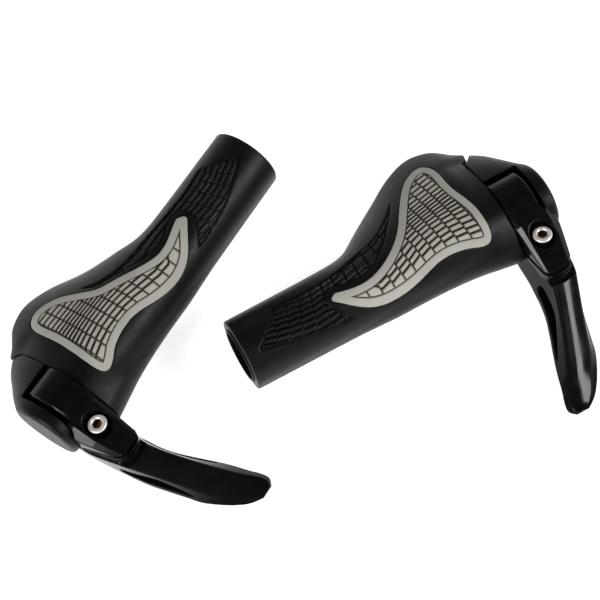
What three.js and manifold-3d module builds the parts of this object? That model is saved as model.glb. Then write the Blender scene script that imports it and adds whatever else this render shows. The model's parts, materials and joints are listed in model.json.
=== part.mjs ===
// A pair of bar end grips for a flat bicycle handlebar, in millimetres, +Z up.
// Each grip is built in a frame of its own: +X runs outboard along the handlebar, +Y forward, +Z up,
// and the origin is on the bar's axis at the grip's inboard end. The left grip mirrors the right one.
import * as THREE from "three";
import { mergeVertices } from "three/addons/utils/BufferGeometryUtils.js";
import Module from "manifold-3d";

const wasm = await Module();
wasm.setup();

// Handlebar and core. The handlebar is 22.2 across, and the core slides over it.
const BORE_RADIUS = 11.25;
const CORE_RADIUS = 12.4;
const CORE_LENGTH = 143.6;
const COLLAR_SLOT_START = 131;
const COLLAR_SLOT_WIDTH = 2;
const COLLAR_SLOTS = 4;
const GAP = 0.3;

// Rubber sleeve.
const TUBE_RADIUS = 16;
const RUBBER_START = 0.8;
const RUBBER_END = 128.8;
const END_ROUNDING = 1.4;
const INLAY_DEPTH = 1.6;
const RING_POINTS = 36;
const EDGE_DIRECTION = THREE.MathUtils.degToRad(196);
const EDGE_CROWDING = 0.72;

// Clamp, horn and bolt of the bar end.
const CLAMP_START = 129.5;
const CLAMP_END = 144;
const CLAMP_RADIUS = 16;
const CLAMP_SPLIT = 2;
const TONGUE_FRONT = 35.5;
const HEAD_RADIUS = 4.25;
const HEAD_HEIGHT = 5;
const HEX_RADIUS = 2.31;
const HEX_DEPTH = 3;
const SHANK_RADIUS = 2.5;
const BOLT_LENGTH = 24;
const BOLT_TOP = new THREE.Vector3(138.6, 18.5, 11.7);
const BOLT_TILT = THREE.MathUtils.degToRad(17);
const COUNTERBORE_RADIUS = 5.6;
const WASHER_HEIGHT = 0.8;
const INSERT_RADIUS = 4;

// End cap.
const CAP_START = 129.6;
const CAP_DISC_START = 144.3;
const CAP_END = 152;
const SPIGOT_RADIUS = 9.2;
const SPIGOT_START = 121;
// How wide the notch between sleeve and cap opens at the wing's rear edge. The left cap sits more open.
const RIGHT_NOTCH = 0.5;
const LEFT_NOTCH = 4.2;

// How the two grips lie beside each other: each one's heading, and where its inboard end is.
const RIGHT_HEADING = THREE.MathUtils.degToRad(236.6);
const RIGHT_PLACE = new THREE.Vector3(-24.3, 66.4, 0);
const LEFT_HEADING = THREE.MathUtils.degToRad(29.2);
const LEFT_PLACE = new THREE.Vector3(-27, -26.9, 0);

// The sleeve's sections along the bar: x, tube radius, how far back the palm wing reaches, the radius
// of the wing's rear edge, that edge's height against the bar's axis, and how far forward it swells.
const SLEEVE_SECTIONS = [
  [0, 16, 16, 15.6, 0, 16],
  [50, 16, 16.6, 14.6, -1, 16.4],
  [60, 16, 18.5, 12, -3.6, 16.8],
  [70, 16, 25, 8.4, -7.4, 17.2],
  [85, 16, 34, 5.6, -10.2, 17.2],
  [98, 16, 42, 4.6, -11.2, 17.6],
  [110, 16, 46, 4.5, -11.3, 18.6],
  [119, 15.5, 44.4, 4.5, -11, 20],
  [125, 14.9, 41.3, 4.5, -10.5, 21],
  [129, 14.5, 39, 4.5, -10, 21.6],
];

// The end cap's sections, in the same terms. It carries the wing's line on round the clamp.
const CAP_SECTIONS = [
  [129, 14.5, 37, 4.5, -10, 14.5],
  [135, 14.5, 34, 4.8, -9, 14.5],
  [140, 14.6, 30.4, 5.6, -7.8, 14.6],
  [144, 14.8, 25.8, 7, -6, 14.8],
  [147.5, 14.9, 21, 9.6, -3.6, 14.9],
  [150, 14.9, 17.4, 12.4, -1.4, 14.9],
  [153, 14.9, 15, 14.4, 0, 14.9],
];

// The horn's sections across its own length: distance forward, the bottom's inboard and outboard sides,
// the top's inboard and outboard sides, and the heights of top and bottom against the bar's axis.
const HORN_SECTIONS = [
  [5, 131, 143.5, 132, 143, -9, -14.5],
  [8.5, 130.4, 147, 131.4, 146.6, -6, -15.6],
  [13, 129.8, 148, 131, 148, -3, -16],
  [20, 129.5, 147.9, 131.5, 148.5, -0.4, -16],
  [29, 129.4, 147, 132.4, 147.1, 2.2, -16],
  [36.5, 128.6, 146, 133, 145.6, 4.2, -16],
  [39, 128.4, 145.7, 132.6, 144.8, 3.4, -16],
  [46, 127, 144.6, 130.8, 142.4, 0.9, -16],
  [54, 124.2, 142.6, 128.2, 139.7, -2, -16],
  [62, 121, 140.4, 125.2, 137.2, -4.9, -16],
  [70, 118, 138.2, 121.8, 134.6, -7.8, -16],
  [78, 115.6, 134, 118.2, 131, -10.4, -16],
  [84, 113.6, 129.8, 115.6, 127.4, -11.9, -16],
  [87.5, 113.6, 126.2, 115.2, 124.2, -12.5, -15.8],
  [90, 116, 122.4, 117, 121.4, -12.6, -15.2],
];

// The slot between the horn's upper and lower spars, seen from the side: forward, height.
const HORN_SLOT = [
  [33.5, -9.5],
  [34.5, -6],
  [40, -5.2],
  [48, -5],
  [54, -7.4],
  [60, -10],
  [66, -12.6],
  [60, -12.6],
  [50, -12.2],
  [40, -11.8],
  [35.5, -11.4],
];

// Outline of the grey palm inlay, seen from above: outboard, forward. Its thin tail comes first.
const INLAY_OUTLINE = [
  [44, 1.5],
  [50, -0.5],
  [57, 0.5],
  [64, 0],
  [73, -3.5],
  [82, -10],
  [88, -18],
  [92.5, -26],
  [98, -33],
  [105, -37.5],
  [111, -38.5],
  [115, -36],
  [116.5, -30],
  [116, -24],
  [116.5, -17],
  [117.5, -10],
  [119, -2],
  [119.5, 5],
  [118.5, 9.5],
  [114, 10.5],
  [107, 8.2],
  [100, 6],
  [93, 5],
  [87, 6.2],
  [81, 8.5],
  [75, 10.5],
  [69, 11.6],
  [63, 11.4],
  [57, 9.8],
  [51, 7],
  [46.5, 3.8],
];

// Outline of the black tread panel inboard of the inlay, in the same terms.
const TREAD_OUTLINE = [
  [88.5, -26],
  [83, -23.5],
  [75, -19],
  [64, -14],
  [53, -10.5],
  [41, -9.5],
  [27, -9],
  [19.5, -7],
  [13, -1],
  [7, 3.5],
  [8.5, 7],
  [15, 8.5],
  [26, 10],
  [38, 11.5],
  [46, 12],
  [49, 10.8],
  [47, 8.2],
  [43, 5.5],
  [40.5, 2.5],
  [42, -2],
  [50, -3.5],
  [57, -2.5],
  [64, -3],
  [72, -6.5],
  [79, -12],
  [84.5, -18.5],
  [88.5, -23.5],
];

const BLACK_RUBBER = new THREE.MeshStandardMaterial({ color: "#1b1b1c", roughness: 0.72 });
const GREY_RUBBER = new THREE.MeshStandardMaterial({ color: "#8f8c84", roughness: 0.8 });
const NYLON = new THREE.MeshStandardMaterial({ color: "#141415", roughness: 0.55 });
const BLACK_PAINT = new THREE.MeshStandardMaterial({ color: "#08080a", roughness: 0.2, metalness: 0.3 });
const STEEL = new THREE.MeshStandardMaterial({ color: "#c9c9c6", roughness: 0.25, metalness: 1 });

// A closed geometry as a solid that can be joined and cut.
function toSolid(geometry) {
  const bare = geometry.clone();
  bare.deleteAttribute("normal");
  bare.deleteAttribute("uv");
  const merged = mergeVertices(bare, 1e-4);
  return new wasm.Manifold(
    new wasm.Mesh({
      numProp: 3,
      vertProperties: new Float32Array(merged.attributes.position.array),
      triVerts: new Uint32Array(merged.index.array),
    }),
  );
}

function toMesh(solid, name, material) {
  const data = solid.getMesh();
  const geometry = new THREE.BufferGeometry();
  geometry.setAttribute("position", new THREE.BufferAttribute(data.vertProperties, 3));
  geometry.setIndex(new THREE.BufferAttribute(data.triVerts, 1));
  geometry.computeVertexNormals();
  const mesh = new THREE.Mesh(geometry, material.clone());
  mesh.name = name;
  return mesh;
}

// A turned solid about the bar's axis, from (x, radius) points that start and end at radius 0.
function turned(points, segments) {
  const profile = points.map(([x, r]) => new THREE.Vector2(r, x));
  return toSolid(new THREE.LatheGeometry(profile, segments).rotateZ(-Math.PI / 2));
}

function cylinderAlongBar(radius, start, end, segments = 32) {
  const geometry = new THREE.CylinderGeometry(radius, radius, end - start, segments);
  return toSolid(geometry.rotateZ(-Math.PI / 2).translate((start + end) / 2, 0, 0));
}

function block(low, high) {
  const size = high.map((v, i) => v - low[i]);
  const middle = high.map((v, i) => (v + low[i]) / 2);
  return toSolid(new THREE.BoxGeometry(...size).translate(...middle));
}

// A section's row of values at distance x, smoothly between the listed sections.
function sectionAt(sections, x) {
  const last = sections.length - 1;
  let i = 0;
  while (i < last - 1 && sections[i + 1][0] < x) i += 1;
  const from = sections[i];
  const to = sections[i + 1];
  const before = sections[Math.max(i - 1, 0)];
  const after = sections[Math.min(i + 2, last)];
  const span = to[0] - from[0];
  const t = THREE.MathUtils.clamp((x - from[0]) / span, 0, 1);
  return from.map((value, k) => {
    const slopeFrom = ((to[k] - before[k]) / (to[0] - before[0])) * span;
    const slopeTo = ((after[k] - from[k]) / (after[0] - from[0])) * span;
    const t2 = t * t;
    const t3 = t2 * t;
    return (
      (2 * t3 - 3 * t2 + 1) * value +
      (t3 - 2 * t2 + t) * slopeFrom +
      (3 * t2 - 2 * t3) * to[k] +
      (t3 - t2) * slopeTo
    );
  });
}

// The circles that a section is swept from: from the tube out to the wing's rear edge, and forward.
function sectionCircles(sections, x) {
  const [, tube, reach, edge, height, front] = sectionAt(sections, x);
  const circles = [];
  const steps = 16;
  const swell = 12;
  for (let i = 0; i <= steps; i += 1) {
    const t = i / steps;
    circles.push([-t * (reach - edge), t * height, edge + (tube - edge) * (1 - t * t)]);
    circles.push([t * (front - swell), -2 * t, tube + (swell - tube) * t]);
  }
  return circles;
}

// How far the outline of these circles is from the bar's axis in one direction.
function outlineRadius(circles, angle, inset) {
  const y = Math.cos(angle);
  const z = Math.sin(angle);
  let radius = 0;
  for (const [cy, cz, r] of circles) {
    const along = cy * y + cz * z;
    const aside = cy * z - cz * y;
    const reach = (r - inset) ** 2 - aside * aside;
    if (reach > 0) radius = Math.max(radius, along + Math.sqrt(reach));
  }
  // The wing's underside is flat, level with the bottom of the tube.
  return z < 0 ? Math.min(radius, (TUBE_RADIUS - inset) / -z) : radius;
}

// Skins the rings of points into one closed body, with a fan at each end.
function skin(rings) {
  const count = rings[0].length;
  const positions = rings.flat().flat();
  const indices = [];
  for (let i = 0; i < rings.length - 1; i += 1) {
    for (let j = 0; j < count; j += 1) {
      const k = (j + 1) % count;
      const [a, b, c, d] = [i * count + j, i * count + k, (i + 1) * count + k, (i + 1) * count + j];
      indices.push(a, b, c, a, c, d);
    }
  }
  for (const [ring, base, inward] of [
    [rings[0], 0, true],
    [rings.at(-1), (rings.length - 1) * count, false],
  ]) {
    const middle = positions.length / 3;
    for (let axis = 0; axis < 3; axis += 1) {
      positions.push(ring.reduce((sum, p) => sum + p[axis], 0) / count);
    }
    for (let j = 0; j < count; j += 1) {
      const k = (j + 1) % count;
      indices.push(middle, base + (inward ? k : j), base + (inward ? j : k));
    }
  }
  const geometry = new THREE.BufferGeometry();
  geometry.setAttribute("position", new THREE.Float32BufferAttribute(positions, 3));
  geometry.setIndex(indices);
  return toSolid(geometry);
}

// The swept outer body between the given rings of [x, inset], with its points crowded at the wing's edge.
function sweptBody(sections, rings) {
  return skin(
    rings.map(([x, inset]) => {
      const circles = sectionCircles(sections, x);
      const ring = [];
      for (let j = 0; j < RING_POINTS; j += 1) {
        const turn = (2 * Math.PI * j) / RING_POINTS;
        const angle = EDGE_DIRECTION + turn - EDGE_CROWDING * Math.sin(turn);
        const radius = outlineRadius(circles, angle, inset);
        ring.push([x, radius * Math.cos(angle), radius * Math.sin(angle)]);
      }
      return ring;
    }),
  );
}

// Rings along the sleeve at one inset, with rounded ends when it is the outer surface.
function sleeveRings(inset, start, end) {
  const rings = [];
  const steps = 17;
  for (let i = 0; i <= steps; i += 1) rings.push([THREE.MathUtils.lerp(start, end, i / steps), inset]);
  return rings;
}

function sleeveBody() {
  const rings = sleeveRings(0, RUBBER_START + END_ROUNDING, RUBBER_END - END_ROUNDING);
  const lip = END_ROUNDING * 0.7;
  rings.unshift([RUBBER_START, lip], [RUBBER_START + END_ROUNDING * 0.3, lip * 0.4]);
  rings.push([RUBBER_END - END_ROUNDING * 0.3, lip * 0.4], [RUBBER_END, lip]);
  return sweptBody(SLEEVE_SECTIONS, rings);
}

// A smooth closed outline through the listed points, moved outwards by the margin.
function smoothOutline(points, count, margin) {
  const curve = new THREE.CatmullRomCurve3(
    points.map(([x, y]) => new THREE.Vector3(x, y, 0)),
    true,
  );
  const anticlockwise = THREE.ShapeUtils.area(points.map(([x, y]) => ({ x, y }))) > 0;
  const outward = anticlockwise ? margin : -margin;
  const shape = [];
  for (let i = 0; i < count; i += 1) {
    const p = curve.getPoint(i / count);
    const along = curve.getTangent(i / count);
    shape.push(new THREE.Vector2(p.x + along.y * outward, p.y - along.x * outward));
  }
  return shape;
}

// An upright prism of the outline, from the given height to well above the grip.
function uprightPrism(outline, bottom = -9) {
  const depth = 31 - bottom;
  const geometry = new THREE.ExtrudeGeometry(new THREE.Shape(outline), { depth, bevelEnabled: false });
  return toSolid(geometry.translate(0, 0, bottom));
}

// The layer of the sleeve under its surface, between two depths and inside the outline.
function surfacePatch(outline, top, bottom) {
  const outer = sweptBody(SLEEVE_SECTIONS, sleeveRings(top, 3, 126));
  const inner = sweptBody(SLEEVE_SECTIONS, sleeveRings(bottom, 2, 127));
  const lowerHalf = block([-10, -8, -40], [160, 60, 2]);
  return outer.intersect(uprightPrism(outline)).subtract(inner).subtract(lowerHalf);
}

function inlay(points, count) {
  return surfacePatch(smoothOutline(points, count, -GAP), 0, INLAY_DEPTH);
}

function pocket(points, count) {
  return surfacePatch(smoothOutline(points, count, 0), -4, INLAY_DEPTH + GAP);
}

// The nylon core: a tube over the bar, slit at its outboard end so that the clamp can squeeze it.
function core() {
  let solid = turned(
    [
      [0, 0],
      [0, CORE_RADIUS - 0.4],
      [0.4, CORE_RADIUS],
      [CORE_LENGTH, CORE_RADIUS],
      [CORE_LENGTH, 0],
    ],
    32,
  );
  solid = solid.subtract(cylinderAlongBar(BORE_RADIUS, -1, CORE_LENGTH + 1));
  for (let i = 0; i < COLLAR_SLOTS; i += 1) {
    const slit = new THREE.BoxGeometry(20, COLLAR_SLOT_WIDTH, 6);
    slit.translate(COLLAR_SLOT_START + 10, 0, (BORE_RADIUS + CORE_RADIUS) / 2);
    slit.rotateX(((i + 0.5) * 2 * Math.PI) / COLLAR_SLOTS);
    solid = solid.subtract(toSolid(slit));
  }
  return solid;
}

// The rubber sleeve with its palm wing, with pockets for the grey inlay and for the tread panel.
function sleeve() {
  return sleeveBody()
    .subtract(cylinderAlongBar(CORE_RADIUS + GAP, -1, RUBBER_END + 1))
    .subtract(pocket(INLAY_OUTLINE, 46))
    .subtract(pocket(TREAD_OUTLINE, 42));
}

// The end cap: a disc over the bar's end with a spigot inside it, and a wing that wraps the clamp.
function endCap(notch) {
  const rings = [CAP_START, 134, 138, 142, 145, 148, 150.2].map((x) => [x, 0]);
  rings.push([151.4, 0.7], [CAP_END, 2.2]);
  const recess = cylinderAlongBar(CLAMP_RADIUS + GAP, CAP_START - 3, CAP_DISC_START);
  const forward = block([CAP_START - 3, -9, -30], [CAP_DISC_START, 40, 30]);
  const spigot = turned(
    [
      [SPIGOT_START, 0],
      [SPIGOT_START, SPIGOT_RADIUS - 1.4],
      [SPIGOT_START + 3, SPIGOT_RADIUS],
      [CAP_DISC_START + 1, SPIGOT_RADIUS],
      [CAP_DISC_START + 1, 0],
    ],
    24,
  );
  const groove = turned(
    [
      [134, 0],
      [134, 20],
      [136.4, 20],
      [136.4, 0],
    ],
    24,
  ).subtract(cylinderAlongBar(SPIGOT_RADIUS - 1.2, 130, 140, 24));
  const wedge = [
    [CAP_START - 4, -30.5],
    [CAP_START, -30.5],
    [CAP_START + notch, -37.5],
    [CAP_START + notch * 1.8, -60],
    [CAP_START - 4, -60],
  ].map(([x, y]) => new THREE.Vector2(x, y));
  // The wing stands back from the clamp's strap, so that a channel runs round the strap's end and side.
  const channel = block([CAP_START - 3, -15.4, 4.5], [CAP_DISC_START + 1.7, 40, 30]);
  return sweptBody(CAP_SECTIONS, rings)
    .subtract(recess)
    .subtract(forward)
    .subtract(channel)
    .subtract(uprightPrism(wedge, -30))
    .add(spigot.subtract(groove));
}

// The rubber ring in the spigot's groove, which grips the inside of the handlebar.
function capRing() {
  const inner = SPIGOT_RADIUS - 0.9;
  const outer = SPIGOT_RADIUS + 0.25;
  return turned(
    [
      [134.3, 0],
      [134.3, outer - 0.4],
      [134.7, outer],
      [135.7, outer],
      [136.1, outer - 0.4],
      [136.1, 0],
    ],
    24,
  ).subtract(cylinderAlongBar(inner, 130, 140, 24));
}

// The horn's solid body: eight-sided sections with a chamfer along each top and bottom edge.
function hornBody() {
  return skin(
    HORN_SECTIONS.map(([y, bottomIn, bottomOut, topIn, topOut, top, bottom]) => {
      const c = Math.min(1.6, (top - bottom) * 0.28);
      return [
        [bottomIn, y, bottom + c],
        [topIn, y, top - c],
        [topIn + c * 0.9, y, top],
        [topOut - c * 0.9, y, top],
        [topOut + c * 0.3, y, top - c],
        [bottomOut, y, bottom + c],
        [bottomOut - c, y, bottom],
        [bottomIn + c, y, bottom],
      ];
    }),
  );
}

// The clamp's upper ear: a tongue that runs forward off the ring's top and thins towards its end.
function tongue() {
  const side = new THREE.Shape(
    [
      [-2, 6],
      [-2, CLAMP_RADIUS - 0.2],
      [4.2, CLAMP_RADIUS - 0.6],
      [TONGUE_FRONT - 1, 7.3],
      [TONGUE_FRONT, 6.5],
      [TONGUE_FRONT - 0.3, 5.4],
      [14, -1.4],
      [8, 2],
    ].map(([y, z]) => new THREE.Vector2(y, z)),
  );
  const slab = new THREE.ExtrudeGeometry(side, { depth: 40, bevelEnabled: false });
  // The extruded side view stands in the bar's cross plane: its own x becomes forward, its y up.
  slab.applyMatrix4(
    new THREE.Matrix4().makeBasis(
      new THREE.Vector3(0, 1, 0),
      new THREE.Vector3(0, 0, 1),
      new THREE.Vector3(1, 0, 0),
    ),
  );
  slab.translate(118, 0, 0);
  const plan = [
    [CLAMP_START, -4],
    [CLAMP_END, -4],
    [CLAMP_END, 8],
    [148.4, 11.5],
    [149, 16],
    [145.2, TONGUE_FRONT - 1.5],
    [143.4, TONGUE_FRONT + 1],
    [132.6, TONGUE_FRONT + 1],
    [131.4, TONGUE_FRONT - 1.5],
    [CLAMP_START, 10],
  ].map(([x, y]) => new THREE.Vector2(x, y));
  const drop = toSolid(new THREE.BoxGeometry(40, 60, 12).rotateY(0.34).translate(152.8, 14, 19.2));
  return toSolid(slab).intersect(uprightPrism(plan)).subtract(drop);
}

// Places a solid made along -Z from the origin onto the bolt's own line.
function onBolt(geometry) {
  return geometry.rotateX(BOLT_TILT).translate(BOLT_TOP.x, BOLT_TOP.y, BOLT_TOP.z);
}

// A round bar on the bolt's line, between two depths under the top of the bolt's head.
function boltCylinder(radius, from, to, segments = 20) {
  const geometry = new THREE.CylinderGeometry(radius, radius, to - from, segments);
  return toSolid(onBolt(geometry.rotateX(Math.PI / 2).translate(0, 0, -(from + to) / 2)));
}

// The cut that splits the clamp in front of the bar, square to the bolt.
function clampSplit() {
  const under = 10.2;
  const slab = new THREE.BoxGeometry(40, 60, CLAMP_SPLIT).translate(0, 30 - 9, -under);
  return toSolid(onBolt(slab));
}

// The bar end: clamp ring, tongue and horn in one piece.
function barEnd() {
  const slotShape = new THREE.Shape(HORN_SLOT.map(([y, z]) => new THREE.Vector2(y, z)));
  const slot = new THREE.ExtrudeGeometry(slotShape, { depth: 60, bevelEnabled: false });
  slot.applyMatrix4(
    new THREE.Matrix4().makeBasis(
      new THREE.Vector3(0, 1, 0),
      new THREE.Vector3(0, 0, 1),
      new THREE.Vector3(1, 0, 0),
    ),
  );
  slot.translate(100, 0, 0);
  // A valley parts the tongue's front end from the crest where the horn's top begins.
  const valley = block([120, 35.8, 1], [155, 39.8, 20]);
  const washerTop = HEAD_HEIGHT;
  const seat = HEAD_HEIGHT + WASHER_HEIGHT + GAP;
  return cylinderAlongBar(CLAMP_RADIUS, CLAMP_START, CLAMP_END, 40)
    .add(hornBody())
    .add(tongue())
    .subtract(cylinderAlongBar(CORE_RADIUS + GAP, 120, 150))
    .subtract(cylinderAlongBar(CLAMP_RADIUS + 0.6, CAP_DISC_START - GAP, 160))
    .subtract(clampSplit())
    .subtract(toSolid(slot))
    .subtract(valley)
    .subtract(boltCylinder(COUNTERBORE_RADIUS, -12, seat))
    .subtract(boltCylinder(SHANK_RADIUS + GAP, washerTop, BOLT_LENGTH + 1.4))
    .subtract(boltCylinder(INSERT_RADIUS + GAP, 15.2, 40));
}

// The socket-head clamp bolt.
function clampBolt() {
  const hex = new THREE.CylinderGeometry(HEX_RADIUS, HEX_RADIUS, HEX_DEPTH * 2, 6);
  const rim = 0.5;
  const profile = [
    [0, 0],
    [HEAD_RADIUS - rim, 0],
    [HEAD_RADIUS, -rim],
    [HEAD_RADIUS, -HEAD_HEIGHT],
    [SHANK_RADIUS, -HEAD_HEIGHT],
    [SHANK_RADIUS, -BOLT_LENGTH + 0.6],
    [SHANK_RADIUS - 0.6, -BOLT_LENGTH],
    [0, -BOLT_LENGTH],
  ]
    .reverse()
    .map(([r, z]) => new THREE.Vector2(r, z));
  const body = new THREE.LatheGeometry(profile, 24).rotateX(Math.PI / 2);
  return toSolid(onBolt(body)).subtract(toSolid(onBolt(hex.rotateX(Math.PI / 2))));
}

function boltWasher() {
  const top = HEAD_HEIGHT + GAP / 2;
  const bottom = top + WASHER_HEIGHT - GAP / 2;
  const hole = boltCylinder(SHANK_RADIUS + GAP, 0, 12);
  return boltCylinder(COUNTERBORE_RADIUS - GAP, top, bottom).subtract(hole);
}

// The threaded insert under the horn's root, which the bolt screws into.
function threadedInsert() {
  return boltCylinder(INSERT_RADIUS, 15.5, 23).subtract(boltCylinder(SHANK_RADIUS + GAP, 0, 40));
}

// All the pieces of one grip, in its own frame.
function grip(side, notch) {
  const group = new THREE.Group();
  const pieces = [
    ["grip_core", core(), NYLON],
    ["rubber_sleeve", sleeve(), BLACK_RUBBER],
    ["palm_inlay", inlay(INLAY_OUTLINE, 46), GREY_RUBBER],
    ["tread_panel", inlay(TREAD_OUTLINE, 42), BLACK_RUBBER],
    ["end_cap", endCap(notch), BLACK_RUBBER],
    ["cap_ring", capRing(), BLACK_RUBBER],
    ["bar_end", barEnd(), BLACK_PAINT],
    ["bolt_washer", boltWasher(), STEEL],
    ["clamp_bolt", clampBolt(), STEEL],
    ["threaded_insert", threadedInsert(), STEEL],
  ];
  for (const [name, solid, material] of pieces) {
    group.add(toMesh(solid, `${side}_${name}`, material));
  }
  return group;
}

const right = grip("right", RIGHT_NOTCH);
right.rotation.z = RIGHT_HEADING;
right.position.copy(RIGHT_PLACE);

const left = grip("left", LEFT_NOTCH);
left.scale.y = -1;
left.rotation.z = LEFT_HEADING;
left.position.copy(LEFT_PLACE);

// The pair stands on z = 0 with its box centred on the origin.
const pair = new THREE.Group();
pair.add(right, left);
const box = new THREE.Box3().setFromObject(pair, true);
pair.position.set(-(box.min.x + box.max.x) / 2, -(box.min.y + box.max.y) / 2, -box.min.z);

export default pair;
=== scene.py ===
"""A pair of bar end grips: rubber sleeves with a palm wing, grey inlays, black tread, gloss alloy horns.

Every piece is modelled as a right-hand one, in millimetres in its grip's own frame: x runs outboard
along the handlebar from the inboard end, y forward, z up from the bar's axis. place() puts a copy
where the CAD says, and mirrors it for the left hand.
"""

import json
import math

import bmesh
import bpy
import numpy as np
from mathutils import Matrix, Vector
from mathutils.geometry import delaunay_2d_cdt


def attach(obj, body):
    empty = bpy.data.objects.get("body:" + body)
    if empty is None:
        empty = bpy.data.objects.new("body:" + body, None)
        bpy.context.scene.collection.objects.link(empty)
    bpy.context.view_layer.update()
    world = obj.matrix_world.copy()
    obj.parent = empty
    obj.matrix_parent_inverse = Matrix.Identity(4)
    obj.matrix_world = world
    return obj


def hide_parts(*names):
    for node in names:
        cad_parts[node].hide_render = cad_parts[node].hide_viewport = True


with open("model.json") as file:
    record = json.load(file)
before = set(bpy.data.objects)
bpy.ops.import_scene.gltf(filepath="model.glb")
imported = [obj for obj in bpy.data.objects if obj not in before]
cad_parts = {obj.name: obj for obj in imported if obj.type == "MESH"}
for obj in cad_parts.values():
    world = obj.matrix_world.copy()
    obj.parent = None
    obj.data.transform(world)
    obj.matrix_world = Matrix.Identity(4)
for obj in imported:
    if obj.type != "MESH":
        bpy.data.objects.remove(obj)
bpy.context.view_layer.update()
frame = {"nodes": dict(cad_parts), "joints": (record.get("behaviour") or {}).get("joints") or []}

SIDES = ("right", "left")

# ---------------------------------------------------------------- dimensions in mm, close to the CAD's
BORE_RADIUS = 11.25
CORE_RADIUS = 12.4
CORE_LENGTH = 143.6
TUBE_RADIUS = 16.0
RUBBER_START, RUBBER_END = 0.8, 129.1
CLAMP_START, CLAMP_END, CLAMP_RADIUS = 129.5, 144.0, 16.0
CAP_START, CAP_DISC_START, CAP_END = 129.4, 144.3, 152.0
SPIGOT_RADIUS, SPIGOT_START = 9.2, 121.0
BOLT_TOP = (138.6, 18.5, 11.7)
BOLT_TILT = math.radians(17)
BOLT_LENGTH = 24.0
HEAD_RADIUS, HEAD_HEIGHT, SHANK_RADIUS = 4.25, 5.0, 2.5
HEX_RADIUS, THREAD_PITCH = 2.31, 0.8
COUNTERBORE_RADIUS = 5.6
GAP = 0.3
# How deep the pockets are that the inlay and the tread panel sit in.
POCKET_DEPTH = 1.5
# Where along the bar the CAD puts the bar end's hinge.
HINGE_X = 136.0
# The points round a section crowd towards the wing's rear edge, which lies in this direction.
EDGE_DIRECTION, EDGE_CROWDING = math.radians(196), 0.72
# How wide the notch between sleeve and cap opens at the wing's rear edge.
NOTCH = {"right": 0.5, "left": 4.2}
# The wing of each grip, as it lies, reaches a little less or more than their mean.
REACH_SHIFT = {"right": -2.0, "left": 1.2}
# How the sleeve's rear corner runs on outboard past the seam: between which distances back, by how much.
SLEEVE_CORNER = {"right": (28.5, 37, 4.3), "left": (30, 37, 5.4)}

# x, tube radius, wing reach, wing edge radius, wing edge height, front reach
SLEEVE_SECTIONS = [
    (0, 16, 16, 15.6, 0, 16),
    (50, 16, 16.6, 14.6, -1, 16.4),
    (60, 16, 18.5, 12, -3.6, 16.8),
    (70, 16, 25, 8.4, -7.4, 17.2),
    (85, 16, 34, 5.6, -10.2, 17.2),
    (98, 16, 42, 4.6, -11.2, 17.6),
    (110, 16, 46, 4.5, -11.3, 18.6),
    (119, 15.5, 44.4, 4.5, -11, 20),
    (125, 14.9, 38.8, 4.5, -10.5, 21),
    (129, 14.5, 36.2, 4.5, -10, 21.6),
]
CAP_SECTIONS = [
    (129, 14.5, 37, 4.5, -10, 14.5),
    (135, 14.5, 34, 4.8, -9, 14.5),
    (140, 14.6, 30.4, 5.6, -7.8, 14.6),
    (144, 14.8, 25.8, 7, -6, 14.8),
    (147.5, 14.9, 21, 9.6, -3.6, 14.9),
    (150, 14.9, 17.4, 12.4, -1.4, 14.9),
    (153, 14.9, 15, 14.4, 0, 14.9),
]
# distance forward, bottom inboard and outboard, top inboard and outboard, top and bottom heights
HORN_SECTIONS = [
    (5, 131, 143.5, 132, 143, -9, -14.5),
    (8.5, 130.4, 147, 131.4, 146.6, -6, -15.6),
    (13, 129.8, 148, 131, 148, -3, -16),
    (20, 129.5, 147.9, 131.5, 148.5, -0.4, -16),
    (29, 129.4, 147, 132.4, 147.1, 2.2, -16),
    (36.5, 128.6, 146, 133, 145.6, 4.2, -16),
    (39, 128.4, 145.7, 132.6, 144.8, 3.4, -16),
    (46, 127, 144.6, 130.8, 142.4, 0.9, -16),
    (54, 124.2, 142.6, 128.2, 139.7, -2, -16),
    (62, 121, 140.4, 125.2, 137.2, -4.9, -16),
    (70, 118, 138.2, 121.8, 134.6, -7.8, -16),
    (78, 115.6, 134, 118.2, 131, -10.4, -16),
    (84, 113.6, 129.8, 115.6, 127.4, -11.9, -16),
    (87.5, 113.6, 126.2, 115.2, 124.2, -12.5, -15.8),
    (90, 116, 122.4, 117, 121.4, -12.6, -15.2),
]
HORN_SLOT = [
    (33.5, -9.5), (34.5, -6), (40, -5.2), (48, -5), (54, -7.4), (60, -10), (66, -12.6),
    (60, -12.6), (50, -12.2), (40, -11.8), (35.5, -11.4),
]
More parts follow.
